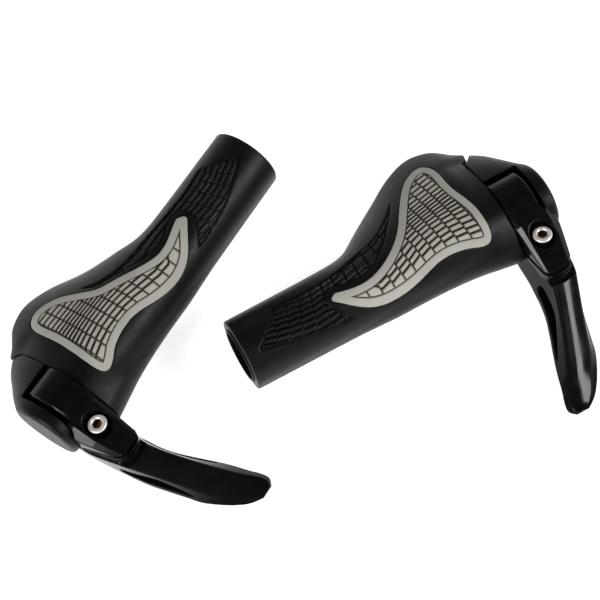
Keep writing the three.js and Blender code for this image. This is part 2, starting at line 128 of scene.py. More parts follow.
# The two grips lie rolled a little differently, so each has its own outlines.
INLAY_OUTLINE = {
    "right": [
        (43.7, -1.6), (46.5, -4.9), (50, -4.4), (55, -3), (60, -2), (65, -2.2), (70, -4), (75, -6.7),
        (80, -10), (85, -13), (89, -15.4), (92, -18.4), (95, -22.6), (100, -29.4), (105, -33.4),
        (110, -35.3), (114, -35.2), (117.3, -33.2), (119, -29.6), (119.3, -25), (119.1, -19),
        (119.3, -13), (119.8, -6), (120.3, 0), (120.3, 4), (119.6, 7.4), (118, 9.3), (115.5, 9.6),
        (112, 8.5), (108, 6.6), (103, 5.4), (98, 5), (93, 5.3), (88, 6.6), (82, 8.8), (76, 10.4),
        (70, 11.2), (65, 11), (60, 9.8), (56, 7.9), (52, 5.1), (48, 2.1),
    ],
    "left": [
        (43.8, 2), (46.3, -0.3), (50, 0.4), (56, 1.4), (62, 1.3), (68, -0.4), (74, -3.6), (80, -8.2),
        (85, -13.5), (90, -20.5), (95, -27.5), (100, -33.3), (105, -36.9), (109.5, -38.4), (113, -37.5),
        (115.5, -34), (116.2, -29), (116, -24), (116.5, -18), (118, -12), (119.2, -6), (119.5, 0),
        (119.6, 5), (119, 8.8), (117.4, 10.9), (115, 11.4), (112, 11), (108, 9.8), (103, 8.8),
        (98, 8.4), (93, 8.8), (88, 10), (82, 11.6), (76, 12.7), (70, 13.2), (64, 13), (59, 12),
        (55, 10.4), (51, 8), (47, 5),
    ],
}
TREAD_OUTLINE = {
    "right": [
        (8.2, 2), (11.1, -1.6), (14.7, -4.9), (18.3, -8.1), (21.6, -11.2), (25, -11), (34, -10.2),
        (42.6, -10.6), (49.7, -11.3), (56, -12), (65.4, -12.9), (71, -13.3), (77.6, -14.5),
        (82.6, -16.6), (87.6, -19.3), (92, -23.2), (93.4, -23.8), (92.2, -20.6), (90, -17.6),
        (85.5, -14.8), (79, -11), (74.7, -8.6), (70.4, -6.3), (66, -4.7), (61, -3.9), (57.6, -4.2),
        (54, -5.3), (50.4, -6.5), (46.4, -6.9), (43, -5.2), (42.2, -1.6), (43.2, 1.7), (46.4, 5),
        (49.6, 7.8), (52, 10), (51.2, 10.8), (44, 10.6), (36.9, 10.1), (29, 9.1), (22, 7.3),
        (14.7, 5.1),
    ],
    "left": [
        (6.8, 6.4), (10.4, 2.3), (14.7, -2), (18.6, -6), (21.6, -8.9), (26.9, -8.3), (32.6, -7.9),
        (39.7, -8.1), (46.9, -8.6), (52.6, -9.6), (58.3, -11.3), (64.7, -13.1), (70.4, -14.5),
        (75.4, -16.5), (81.1, -20.3), (86.1, -24.6), (90.2, -28.6), (91, -28), (88.6, -24.2),
        (85.6, -20.2), (82, -16), (79, -12.6), (75.8, -9), (70.4, -5), (66, -2.6), (61, -1.2),
        (57, -0.7), (52.6, -1.2), (49.7, -2), (46.9, -2.9), (44, -2.6), (42.5, -0.4), (42.6, 2.8),
        (44.4, 6), (47.2, 9), (50.6, 11.8), (50.2, 12.7), (41, 12.4), (31, 11.7), (22, 10.1), (14, 8.4),
    ],
}
# The grey inlay's bricks: the line, as (x, y), that their front rows follow, how far their columns lean,
# how far each row tilts along a brick, and the pitch and the place of the joints between columns.
BRICK_LINE = {
    "right": [
        (48, 0.2), (55, 4.4), (60, 6.1), (66, 6.7), (72, 6.3), (80, 4.5),
        (86, 3), (92, 2), (98, 1.8), (104, 2.1), (110, 3.3), (116, 5),
    ],
    "left": [
        (48, 4.2), (54, 7.7), (60, 9.3), (66, 9.6), (72, 9), (80, 7.3),
        (86, 5.6), (92, 4.6), (98, 4.3), (104, 4.9), (110, 6.5), (116, 8.2),
    ],
}
BRICK_LEAN = {"right": 0.02, "left": 0.13}
BRICK_TILT = {"right": 0.05, "left": 0.19}
BRICK_PITCH, BRICK_START = 5.72, 58.4
# The black tread's bricks: the line that one of their rows follows, and the joints' pitch and place.
TREAD_LINE = {
    "right": [
        (8, -13), (22.9, -9.5), (30, -8.8), (36, -8.8), (47, -9.3), (54, -10.2),
        (62.6, -10.7), (68.3, -10.8), (75.4, -12), (82, -14.6), (88, -18), (94, -23),
    ],
    "left": [
        (8, -11), (14, -8.8), (21.9, -6.9), (30, -5.6), (34.7, -5.1), (39.7, -5.3), (46.9, -6.1), (51, -7),
        (56.9, -8.8), (62.6, -10.6), (68.3, -11.2), (73.3, -12.7), (81, -16.8), (86, -21), (92, -27),
    ],
}
TREAD_PITCH, TREAD_START = 5.8, 65.4


# ---------------------------------------------------------------- placing pieces in the row frame
def grip_frame(side):
    """(origin in metres, x, y and z directions) of one grip in the row frame, from its CAD joint."""
    joint = next(j for j in frame["joints"] if j["name"] == f"{side}_bar_end_turn")
    hand = 1.0 if side == "right" else -1.0
    x_dir = np.array(joint["axis"], float) * hand
    z_dir = np.array([0.0, 0.0, 1.0])
    y_dir = np.cross(z_dir, x_dir) * hand
    origin = np.array(joint["pos_m"], float) - HINGE_X * 0.001 * x_dir
    return origin, x_dir, y_dir, z_dir


def to_row(side, points):
    """Points in one grip's own frame, in mm, as points in the row frame, in metres."""
    origin, x_dir, y_dir, z_dir = grip_frame(side)
    points = np.asarray(points, float) * 0.001
    return origin + points[:, :1] * x_dir + points[:, 1:2] * y_dir + points[:, 2:3] * z_dir


def place(source, side, name, node, body):
    """A copy of a mesh in a grip's own frame, as the piece that replaces one CAD node of that side."""
    mesh = source.copy()
    mesh.name = name
    count = len(mesh.vertices)
    points = np.empty(count * 3)
    mesh.vertices.foreach_get("co", points)
    mesh.vertices.foreach_set("co", to_row(side, points.reshape(-1, 3)).ravel())
    if side == "left":
        mesh.flip_normals()
    mesh.update()
    piece = bpy.data.objects.new(name, mesh)
    bpy.context.scene.collection.objects.link(piece)
    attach(piece, f"{side}_{body}")
    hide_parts(f"{side}_{node}")
    return piece


# ---------------------------------------------------------------- meshes in a grip's own frame, in mm
def new_mesh(name, points, faces, material, attributes=None):
    mesh = bpy.data.meshes.new(name)
    mesh.from_pydata([tuple(p) for p in points], [], [tuple(f) for f in faces])
    mesh.materials.append(material)
    mesh.polygons.foreach_set("use_smooth", [True] * len(mesh.polygons))
    for key, values in (attributes or {}).items():
        layer = mesh.attributes.new(key, "FLOAT", "POINT")
        layer.data.foreach_set("value", np.asarray(values, np.float32))
    mesh.update()
    return mesh


def scratch_object(mesh):
    item = bpy.data.objects.new(mesh.name, mesh)
    bpy.context.scene.collection.objects.link(item)
    return item


def with_modifiers(item):
    """The object's mesh with its modifiers applied. The object itself is removed."""
    graph = bpy.context.evaluated_depsgraph_get()
    mesh = bpy.data.meshes.new_from_object(item.evaluated_get(graph))
    bpy.data.objects.remove(item)
    return mesh


def combine(base, others, operation, keep_materials=False):
    """The base mesh joined with, or cut by, each of the others."""
    item = scratch_object(base)
    tools = [scratch_object(other) for other in others]
    for tool in tools:
        modifier = item.modifiers.new("combine", "BOOLEAN")
        modifier.operation = operation
        modifier.solver = "EXACT"
        modifier.object = tool
        modifier.material_mode = "TRANSFER" if keep_materials else "INDEX"
    mesh = with_modifiers(item)
    for tool in tools:
        bpy.data.objects.remove(tool)
    return mesh


def rounded(mesh, voxel, smoothing, material):
    """The solid remeshed finely, with its edges softened as on a moulding or a forging."""
    item = scratch_object(mesh)
    remesh = item.modifiers.new("remesh", "REMESH")
    remesh.mode = "VOXEL"
    remesh.voxel_size = voxel
    remesh.use_smooth_shade = True
    smooth = item.modifiers.new("smooth", "SMOOTH")
    smooth.factor = 0.5
    smooth.iterations = smoothing
    result = with_modifiers(item)
    result.materials.clear()
    result.materials.append(material)
    result.polygons.foreach_set("use_smooth", [True] * len(result.polygons))
    return result


def turned(name, profile, segments, material=None):
    """A solid turned about the bar's axis from closed (x, radius) points. Radius 0 closes on the axis."""
    points, faces, rings = [], [], []
    for x, r in profile:
        if r == 0:
            rings.append([len(points)] * segments)
            points.append((x, 0, 0))
            continue
        rings.append(list(range(len(points), len(points) + segments)))
        for k in range(segments):
            angle = 2 * math.pi * k / segments
            points.append((x, r * math.cos(angle), r * math.sin(angle)))
    closed = profile[0][1] != 0
    pairs = list(zip(rings, rings[1:] + rings[:1])) if closed else list(zip(rings, rings[1:]))
    for a, b in pairs:
        for k in range(segments):
            n = (k + 1) % segments
            corner = []
            for v in (a[k], a[n], b[n], b[k]):
                if v not in corner:
                    corner.append(v)
            if len(corner) > 2:
                faces.append(corner)
    return outward(new_mesh(name, points, faces, material or BLACK_RUBBER))


def outward(mesh):
    """The mesh with all its faces turned outwards."""
    work = bmesh.new()
    work.from_mesh(mesh)
    bmesh.ops.recalc_face_normals(work, faces=work.faces)
    if work.calc_volume(signed=True) < 0:
        bmesh.ops.reverse_faces(work, faces=work.faces)
    work.to_mesh(mesh)
    work.free()
    return mesh


def prism(name, outline, low, high, plane="XY"):
    """A closed prism of a plan outline (x, y) along z, or of a side outline (y, z) along x."""
    count = len(outline)
    order = (lambda a, b, c: (a, b, c)) if plane == "XY" else (lambda a, b, c: (c, a, b))
    points = [order(a, b, low) for a, b in outline] + [order(a, b, high) for a, b in outline]
    faces = [list(range(count)), list(range(count, 2 * count))]
    faces += [(i, (i + 1) % count, count + (i + 1) % count, count + i) for i in range(count)]
    return outward(new_mesh(name, points, faces, BLACK_RUBBER))


def cuboid(name, low, high):
    outline = [(low[0], low[1]), (high[0], low[1]), (high[0], high[1]), (low[0], high[1])]
    return prism(name, outline, low[2], high[2])


def moved(mesh, matrix):
    mesh.transform(matrix)
    return mesh


BOLT_MATRIX = Matrix.Translation(BOLT_TOP) @ Matrix.Rotation(BOLT_TILT, 4, "X")


def bolt_cylinder(name, radius, low, high, segments=64):
    """A cylinder on the bolt's line, between two depths under the top of its head, negative above it."""
    bar = turned(name, [(low, 0), (low, radius), (high, radius), (high, 0)], segments)
    return outward(moved(bar, BOLT_MATRIX @ Matrix.Rotation(math.pi / 2, 4, "Y")))


# ---------------------------------------------------------------- the swept sections
def section_at(sections, x, reach_shift=0.0):
    """The sections' values at distance x, one row for each x, smoothly between the listed ones."""
    table = np.array(sections, float)
    x = np.atleast_1d(x)
    last = len(table) - 1
    i = np.clip(np.searchsorted(table[:, 0], x, side="left") - 1, 0, last - 1)
    start, end = table[i], table[i + 1]
    before, after = table[np.maximum(i - 1, 0)], table[np.minimum(i + 2, last)]
    span = (end[:, 0] - start[:, 0])[:, None]
    t = np.clip((x - start[:, 0])[:, None] / span, 0, 1)
    slope_start = (end - before) / (end[:, :1] - before[:, :1]) * span
    slope_end = (after - start) / (after[:, :1] - start[:, :1]) * span
    t2, t3 = t * t, t * t * t
    rows = (
        (2 * t3 - 3 * t2 + 1) * start
        + (t3 - 2 * t2 + t) * slope_start
        + (3 * t2 - 2 * t3) * end
        + (t3 - t2) * slope_end
    )
    # The grip's own reach begins where the wing swells, and fades out towards the seam or the cap's end.
    if reach_shift:
        fade = (141, 150)
        if sections is SLEEVE_SECTIONS:
            fade = (122, 145) if reach_shift < 0 else (116, 131)
        rows[:, 2] += reach_shift * smoothstep(58, 86, x) * (1 - smoothstep(*fade, x))
    return rows


def section_circles(sections, x, reach_shift, steps=48):
    """The circles each section is swept from: arrays (x count, circles) of y, z and radius.

    They run from the bar's axis back to the wing's edge, and forward to the swell of the clamp's side.
    """
    row = section_at(sections, x, reach_shift)
    tube, reach, edge, height, front = (row[:, k : k + 1] for k in range(1, 6))
    t = np.linspace(0, 1, steps + 1)[None, :]
    swell = 12.0
    y = np.concatenate([-t * (reach - edge), t * (front - swell)], axis=1)
    z = np.concatenate([t * height, -2 * t + 0 * front], axis=1)
    r = np.concatenate([edge + (tube - edge) * (1 - t * t), tube + (swell - tube) * t], axis=1)
    return y, z, r


def swept_ring(sections, x, angles, inset, reach_shift):
    """Distance from the bar's axis to the surface at one x, for each angle."""
    cy, cz, cr = (a[0][:, None] for a in section_circles(sections, x, reach_shift))
    y, z = np.cos(angles)[None, :], np.sin(angles)[None, :]
    along = cy * y + cz * z
    aside = cy * z - cz * y
    square = (cr - inset) ** 2 - aside**2
    radius = np.where(square > 0, along + np.sqrt(np.maximum(square, 0)), 0).max(axis=0)
    # The wing's underside is flat, level with the bottom of the tube, with a soft edge.
    down = np.maximum(-np.sin(angles), 1e-6)
    flat = np.where(np.sin(angles) < -1e-6, (TUBE_RADIUS - inset) / down, 1e3)
    soft = 0.35
    return -soft * np.logaddexp(-radius / soft, -flat / soft)


def top_height(sections, x, y, reach_shift):
    """Height of the upper surface over each plan point."""
    cy, cz, cr = section_circles(sections, x, reach_shift)
    square = cr**2 - (y[:, None] - cy) ** 2
    return np.where(square > 0, cz + np.sqrt(np.maximum(square, 0)), -99).max(axis=1)


def wing_angles(count):
    """Angles round a section, crowded towards the wing's rear edge."""
    turn = np.linspace(0, 2 * math.pi, count, endpoint=False)
    return EDGE_DIRECTION + turn - EDGE_CROWDING * np.sin(turn)


# ---------------------------------------------------------------- outlines and tread patterns
def smooth_outline(points, step):
    """A smooth closed line through the points, as points about one step apart."""
    p = np.array(points, float)
    dense = []
    count = len(p)
    for i in range(count):
        a, b, c, d = p[i - 1], p[i], p[(i + 1) % count], p[(i + 2) % count]
        for t in np.linspace(0, 1, 24, endpoint=False):
            square, cube = 2 * a - 5 * b + 4 * c - d, 3 * b - a - 3 * c + d
            dense.append(0.5 * (2 * b + (c - a) * t + square * t * t + cube * t**3))
    dense = np.array(dense)
    for _ in range(6):
        dense = (np.roll(dense, 1, 0) + 2 * dense + np.roll(dense, -1, 0)) / 4
    loop = np.vstack([dense, dense[:1]])
    length = np.concatenate([[0], np.cumsum(np.linalg.norm(np.diff(loop, axis=0), axis=1))])
    at = np.linspace(0, length[-1], int(length[-1] / step), endpoint=False)
    return np.stack([np.interp(at, length, loop[:, 0]), np.interp(at, length, loop[:, 1])], axis=1)


def inside_distance(outline, points):
    """Distance of each point from the outline, positive inside it."""
    a, b = outline, np.roll(outline, -1, axis=0)
    result = np.empty(len(points))
    for start in range(0, len(points), 4000):
        p = points[start : start + 4000]
        edge = (b - a)[None]
        rel = p[:, None] - a[None]
        t = np.clip((rel * edge).sum(2) / (edge**2).sum(2), 0, 1)
        distance = np.sqrt(((rel - t[..., None] * edge) ** 2).sum(2)).min(1)
        crosses = (a[None, :, 1] > p[:, None, 1]) != (b[None, :, 1] > p[:, None, 1])
        height = b[:, 1] - a[:, 1]
        height = np.where(np.abs(height) < 1e-9, 1e-9, height)
        at = a[:, 0] + (p[:, None, 1] - a[:, 1]) * (b - a)[:, 0] / height
        inside = (crosses & (p[:, None, 0] < at)).sum(1) % 2 == 1
        result[start : start + 4000] = np.where(inside, distance, -distance)
    return result


def smoothstep(low, high, value):
    t = np.clip((value - low) / (high - low), 0, 1)
    return t * t * (3 - 2 * t)


def grey_joints(side):
    """The inlay's bricks: columns across it, rows that follow its front edge and crowd in the middle."""
    line = np.array(BRICK_LINE[side], float)
    front = np.interp(98, line[:, 0], line[:, 1])
    grid = np.linspace(-45, 12, 571)
    spacing = 1.62 + 1.0 * smoothstep(-13, -4, grid) + 0.95 * smoothstep(-17, -26, grid)
    index = np.concatenate([[0], np.cumsum(np.diff(grid) / spacing[1:])])
    index -= np.interp(front, grid, index)

    def joints(points):
        x, y = points[:, 0], points[:, 1]
        column = (x - BRICK_LEAN[side] * (y - 2) - BRICK_START) / BRICK_PITCH
        across = np.abs(column - np.round(column)) * BRICK_PITCH
        middle = (column - np.floor(column) - 0.5) * BRICK_PITCH
        bend = np.interp(x, line[:, 0], line[:, 1]) - front
        level = y - bend * smoothstep(-24, 3, y) + BRICK_TILT[side] * middle
        reach = 1 - 0.45 * (1 - smoothstep(62, 66, x))
        level = front - (front - level) * reach
        rows = np.interp(level, grid, index)
        along = np.abs(rows - np.round(rows)) * np.interp(level, grid, spacing) / reach
        along = np.where(rows > -0.5, 9.0, along)
        return across, along

    return joints


def black_joints(side):
    """The tread's bricks: columns that fan out inboard, and rows that spread and rise along the wing."""
    line = np.array(TREAD_LINE[side], float)

    def joints(points):
        x, y = points[:, 0], points[:, 1]
        lean = np.interp(x, [15, 35, 60, 70], [0.45, 0.28, 0.06, 0.0])
        column = (x + lean * (y + 2) - TREAD_START) / TREAD_PITCH
        across = np.abs(column - np.round(column)) * TREAD_PITCH
        middle = (column - np.floor(column) - 0.5) * TREAD_PITCH
        spacing = np.interp(x, [8, 50, 57, 68, 76, 86], [2.55, 2.5, 2.9, 3.7, 3.0, 2.2])
        rows = (y - np.interp(x, line[:, 0], line[:, 1]) + 0.07 * middle) / spacing
        return across, np.abs(rows - np.round(rows)) * spacing

    return joints


def tread_patch(name, outline, reach_shift, joints, material, band, widths, depth, proud, lattice):
    """A moulded insert that follows the sleeve's surface: a smooth border, a groove inside it, and bricks.

    band is the border's width, widths are those of the grooves across and along the insert, proud is how
    far it stands over the sleeve, and lattice is the spacing of its points.
    """
    low, high = outline.min(0), outline.max(0)
    lattice_x, lattice_y = np.arange(low[0], high[0], lattice), np.arange(low[1], high[1], lattice * 0.9)
    inner = np.stack(np.meshgrid(lattice_x, lattice_y), -1)
    inner[1::2, :, 0] += lattice / 2
    inner = inner.reshape(-1, 2)
    inner = inner[inside_distance(outline, inner) > lattice * 0.55]
    flat = np.vstack([outline, inner])
    loop = list(range(len(outline)))
    verts, _, faces, *_ = delaunay_2d_cdt([Vector(p) for p in flat], [], [loop], 1, 1e-5)
    flat = np.array([tuple(v) for v in verts])
    inward = inside_distance(outline, flat)
    inward[np.abs(inward) < 1e-4] = 0
    across, along = joints(flat)
    # The groove mask sinks the grooves, and the material also paints shade into them by it.
    groove = np.maximum(
        0.85 * (1 - smoothstep(widths[0] * 0.45, widths[0], across)),
        1 - smoothstep(widths[1] * 0.45, widths[1], along),
    )
    groove = np.where(inward < band, 0, groove)
    groove = np.maximum(groove, 0.9 * (1 - smoothstep(0.16, 0.38, np.abs(inward - band))))
    crown = 0.05 * smoothstep(band, band + 0.5, inward)
    edge = 1 - np.clip(inward / 0.5, 0, 1)
    offset = proud + crown - depth * groove - (proud + 0.9) * (1 - np.sqrt(np.maximum(1 - edge**2, 0)))
    base = top_height(SLEEVE_SECTIONS, flat[:, 0], flat[:, 1], reach_shift)
    delta = 0.2
    slope_x = (top_height(SLEEVE_SECTIONS, flat[:, 0] + delta, flat[:, 1], reach_shift) - base) / delta
    slope_y = (top_height(SLEEVE_SECTIONS, flat[:, 0], flat[:, 1] + delta, reach_shift) - base) / delta
    normal = np.stack([-slope_x, -slope_y, np.ones_like(base)], axis=1)
    normal /= np.linalg.norm(normal, axis=1)[:, None]
    surface = np.column_stack([flat, base]) + normal * offset[:, None]
    # A skirt and a back close the insert, hidden in the sleeve's pocket.
    # The field inside the border takes the bricks' lighter colour in the material, a painted highlight.
    field = smoothstep(band + 0.1, band + 0.5, inward)
    mesh = new_mesh(name, surface, faces, material, {"groove": groove, "field": field})
    return close_below(mesh, normal, 1.3)


def close_below(mesh, normal, depth):
    """Closes an open patch with a back at the given depth under it, so that it is a solid."""
    work = bmesh.new()
    work.from_mesh(mesh)
    # The closing faces take no part in the tread.
    layer = work.verts.layers.float["groove"]
    work.verts.ensure_lookup_table()
    rim = [e for e in work.edges if e.is_boundary]
    down = {}
    for v in {v for e in rim for v in e.verts}:
        n = Vector(normal[v.index])
        down[v] = work.verts.new(v.co - n * depth)
        down[v][layer] = 0.0
    for e in rim:
        face = e.link_faces[0]
        loop = next(corner for corner in face.loops if corner.edge == e)
        a, b = loop.vert, loop.link_loop_next.vert
        side = work.faces.new((b, a, down[a], down[b]))
        side.smooth = True
    lower = [e for e in work.edges if e.is_boundary]
    bmesh.ops.contextual_create(work, geom=lower)
    bmesh.ops.triangulate(work, faces=[f for f in work.faces if len(f.verts) > 4])
    bmesh.ops.recalc_face_normals(work, faces=work.faces)
    work.to_mesh(mesh)
    work.free()
    return mesh


# ---------------------------------------------------------------- materials
def node_material(name, colour, roughness, metallic=0.0):
    material = bpy.data.materials.new(name)
    material.use_nodes = True
    shader = material.node_tree.nodes["Principled BSDF"]
    shader.inputs["Base Color"].default_value = (*colour, 1)
    shader.inputs["Roughness"].default_value = roughness
    shader.inputs["Metallic"].default_value = metallic
    return material, material.node_tree, shader


def noise(tree, scale, detail=4.0, roughness=0.6):
    """Object-space noise with its scale in features per metre."""
    place_node = tree.nodes.new("ShaderNodeTexCoord")
    texture = tree.nodes.new("ShaderNodeTexNoise")
    texture.inputs["Scale"].default_value = scale
    texture.inputs["Detail"].default_value = detail
    texture.inputs["Roughness"].default_value = roughness
    tree.links.new(place_node.outputs["Object"], texture.inputs["Vector"])
    return texture.outputs["Fac"]


def ramp(tree, source, stops):
    """A colour ramp from (position, colour) stops."""
    node = tree.nodes.new("ShaderNodeValToRGB")
    elements = node.color_ramp.elements
    while len(elements) < len(stops):
        elements.new(0.5)
    for element, (position, colour) in zip(elements, stops):
        element.position = position
        element.color = (*colour, 1)
    tree.links.new(source, node.inputs["Fac"])
    return node.outputs["Color"]


def value_range(tree, source, low, high, start=0.3, end=0.7):
    node = tree.nodes.new("ShaderNodeMapRange")
    for socket, number in (("From Min", start), ("From Max", end), ("To Min", low), ("To Max", high)):
        node.inputs[socket].default_value = number
    tree.links.new(source, node.inputs["Value"])
    return node.outputs["Result"]


def bump(tree, shader, height, strength, distance, after=None):
    node = tree.nodes.new("ShaderNodeBump")
    node.inputs["Strength"].default_value = strength
    node.inputs["Distance"].default_value = distance
    tree.links.new(height, node.inputs["Height"])
    if after:
        tree.links.new(after, node.inputs["Normal"])
    tree.links.new(node.outputs["Normal"], shader.inputs["Normal"])
    return node.outputs["Normal"]


def mix_colour(tree, factor, first, second):
    node = tree.nodes.new("ShaderNodeMix")
    node.data_type = "RGBA"
    tree.links.new(factor, node.inputs["Factor"])
    for socket, source in ((node.inputs[6], first), (node.inputs[7], second)):
        if isinstance(source, tuple):
            socket.default_value = (*source, 1)
        else:
            tree.links.new(source, socket)
    return node.outputs[2]


def rubber_material(name, dark, light, roughness, grain, groove=None, brick_highlight=None):
    """Moulded rubber: a fine spark-eroded grain, soft mottling, and where it has tread, painted shade in
    the grooves and a painted highlight on the bricks.

    The groove colour is shade painted down in the tread's grooves, and the bricks between them take a
    lighter colour, a painted highlight.
    """
    material, tree, shader = node_material(name, light, roughness)
    colour = ramp(tree, noise(tree, 90, 5), [(0.3, dark), (0.7, light)])
    if groove:
        field = tree.nodes.new("ShaderNodeAttribute")
        field.attribute_name = "field"
        # The bricks take a lighter colour: a painted highlight.
        colour = mix_colour(tree, field.outputs["Fac"], colour, brick_highlight)
        attribute = tree.nodes.new("ShaderNodeAttribute")
        attribute.attribute_name = "groove"
        # Painted shade darkens the grooves.
        colour = mix_colour(tree, attribute.outputs["Fac"], colour, groove)
    tree.links.new(colour, shader.inputs["Base Color"])
    fine = noise(tree, 5200, 2, 0.5)
    patch = noise(tree, 420, 3, 0.55)
    tree.links.new(value_range(tree, patch, roughness - 0.05, roughness + 0.06), shader.inputs["Roughness"])
    first = bump(tree, shader, fine, 0.5, grain)
    bump(tree, shader, patch, 0.25, grain * 2, first)
    shader.inputs["Specular IOR Level"].default_value = 0.15
    return material


def paint_material():
    """Black gloss enamel over forged alloy, with a faint orange peel and soft changes of roughness."""
    material, tree, shader = node_material("black_gloss_paint", (0.005, 0.005, 0.006), 0.16)
    peel = noise(tree, 900, 2, 0.5)
    film = noise(tree, 160, 4, 0.6)
    colour = ramp(tree, film, [(0.3, (0.0036, 0.0033, 0.0031)), (0.75, (0.0056, 0.0051, 0.0048))])
    tree.links.new(colour, shader.inputs["Base Color"])
    tree.links.new(value_range(tree, film, 0.11, 0.18), shader.inputs["Roughness"])
    bump(tree, shader, peel, 0.12, 0.00006)
    shader.inputs["Specular IOR Level"].default_value = 0.11
    return material


def steel_material(name, colour, roughness, metallic):
    """Bright plated steel, with fine turning marks and a little staining."""
    material, tree, shader = node_material(name, colour, roughness, metallic)
    marks = noise(tree, 2600, 3, 0.6)
    stain = noise(tree, 500, 4, 0.6)
    warm = tuple(c * w for c, w in zip(colour, (0.86, 0.8, 0.7)))
    tree.links.new(ramp(tree, stain, [(0.35, colour), (0.72, warm)]), shader.inputs["Base Color"])
    tree.links.new(value_range(tree, marks, roughness - 0.07, roughness + 0.1), shader.inputs["Roughness"])
    bump(tree, shader, marks, 0.12, 0.00003)
    return material


RUBBER_TONES = ((0.0034, 0.0034, 0.0033), (0.0056, 0.0056, 0.0054))
BLACK_RUBBER = rubber_material("black_rubber", *RUBBER_TONES, 0.38, 0.00008)
TREAD_RUBBER = rubber_material(
    "tread_rubber",
    *RUBBER_TONES,
    roughness=0.36,
    grain=0.00008,
    # painted shade down in the grooves
    groove=(0.0003, 0.0003, 0.0003),
    # the bricks' lighter colour: a painted highlight
    brick_highlight=(0.011, 0.011, 0.0105),
)
GREY_RUBBER = rubber_material(
    "grey_rubber",
    (0.37, 0.356, 0.323),
    (0.42, 0.405, 0.37),
    roughness=0.6,
    grain=0.00007,
    # painted shade down in the grooves
    groove=(0.02, 0.014, 0.009),
    # the bricks' lighter colour: a painted highlight
    brick_highlight=(0.43, 0.41, 0.36),
)
NYLON = rubber_material("core_nylon", (0.0025, 0.0025, 0.0025), (0.004, 0.004, 0.004), 0.5, 0.00004)
PAINT = paint_material()
STEEL = steel_material("plated_steel", (0.93, 0.92, 0.9), 0.4, 0.55)
# Blackened steel for the washer, and painted shade on the side of the bolt's head.
BLACKENED_AND_SHADE_STEEL = steel_material("blackened_steel_and_painted_shade", (0.02, 0.02, 0.02), 0.36, 1.0)
SOCKET_STEEL = steel_material("socket_steel", (0.3, 0.21, 0.14), 0.4, 1.0)


# ---------------------------------------------------------------- the pieces of one grip
def sleeve_mesh(inlay, tread, reach_shift, corner):
    """The rubber sleeve: a fine swept skin with rounded ends, sunk under the inlay and the tread panel.

    Its wing's rear corner runs on outboard past the seam, as corner says.
    """
    angles = wing_angles(300)
    inboard, outboard = 0.9, 0.35
    rows = [(x, 0.0) for x in np.linspace(RUBBER_START + inboard, RUBBER_END - outboard, 250)]
    for k in range(1, 7):
        turn = math.pi / 2 * k / 6
        rows.insert(0, (RUBBER_START + inboard * (1 - math.sin(turn)), inboard * (1 - math.cos(turn))))
        rows.append((RUBBER_END - outboard * (1 - math.sin(turn)), outboard * (1 - math.cos(turn))))
    points = []
    for x, inset in rows:
        radius = swept_ring(SLEEVE_SECTIONS, x, angles, inset, reach_shift)
        y, z = radius * np.cos(angles), radius * np.sin(angles)
        points.append(np.column_stack([np.full(len(angles), x), y, z]))
    points = np.array(points)
    flat = points.reshape(-1, 3)
    upper = flat[:, 2] > -9
    sink = np.zeros(len(flat))
    for outline in (inlay, tread):
        near = (
            upper
            & (flat[:, 0] > outline[:, 0].min())
            & (flat[:, 0] < outline[:, 0].max())
            & (flat[:, 1] > outline[:, 1].min())
            & (flat[:, 1] < outline[:, 1].max())
            & ((flat[:, 2] > 2) | (flat[:, 1] < -8))
        )
        sink[near] = np.maximum(sink[near], smoothstep(0.25, 0.9, inside_distance(outline, flat[near, :2])))
    start, end, run = corner
    flat[:, 0] += run * smoothstep(start, end, -flat[:, 1]) * smoothstep(112, 129, flat[:, 0])
    normal = np.cross(np.gradient(points, axis=1), np.gradient(points, axis=0)).reshape(-1, 3)
    normal /= np.maximum(np.linalg.norm(normal, axis=1), 1e-9)[:, None]
    outwards = np.sign((normal[:, 1:] * flat[:, 1:]).sum(1))
    flat = flat - normal * (outwards * sink * POCKET_DEPTH)[:, None]
    ring_count, across = points.shape[:2]
    inner = CORE_RADIUS + GAP
    verts = [tuple(p) for p in flat]
    for x in (RUBBER_END, RUBBER_START):
        verts += [(x, inner * math.cos(a), inner * math.sin(a)) for a in angles]
    rings = [list(range(i * across, (i + 1) * across)) for i in range(ring_count + 2)]
    faces = []
    for a, b in zip(rings, rings[1:] + rings[:1]):
        for k in range(across):
            n = (k + 1) % across
            faces.append((a[k], a[n], b[n], b[k]))
    mesh = outward(new_mesh("sleeve", verts, faces, BLACK_RUBBER))
    mark_sharp(mesh, 50)
    return mesh


def mark_sharp(mesh, degrees):
    """Keeps the corners sharper than this angle crisp when the mesh is shaded smooth."""
    work = bmesh.new()
    work.from_mesh(mesh)
    for e in work.edges:
        e.smooth = len(e.link_faces) != 2 or e.calc_face_angle(0) < math.radians(degrees)
    work.to_mesh(mesh)
    work.free()


def swept_solid(name, sections, rows, reach_shift, count=220):
    """A closed body of swept sections between the given (x, inset) rows."""
    angles = wing_angles(count)
    verts, rings = [], []
    for x, inset in rows:
        radius = swept_ring(sections, x, angles, inset, reach_shift)
        rings.append(list(range(len(verts), len(verts) + count)))
        verts += [(x, r * math.cos(a), r * math.sin(a)) for r, a in zip(radius, angles)]
    faces = [tuple(rings[0]), tuple(rings[-1])]
    for a, b in zip(rings, rings[1:]):
        faces += [(a[k], a[(k + 1) % count], b[(k + 1) % count], b[k]) for k in range(count)]
    return outward(new_mesh(name, verts, faces, BLACK_RUBBER))


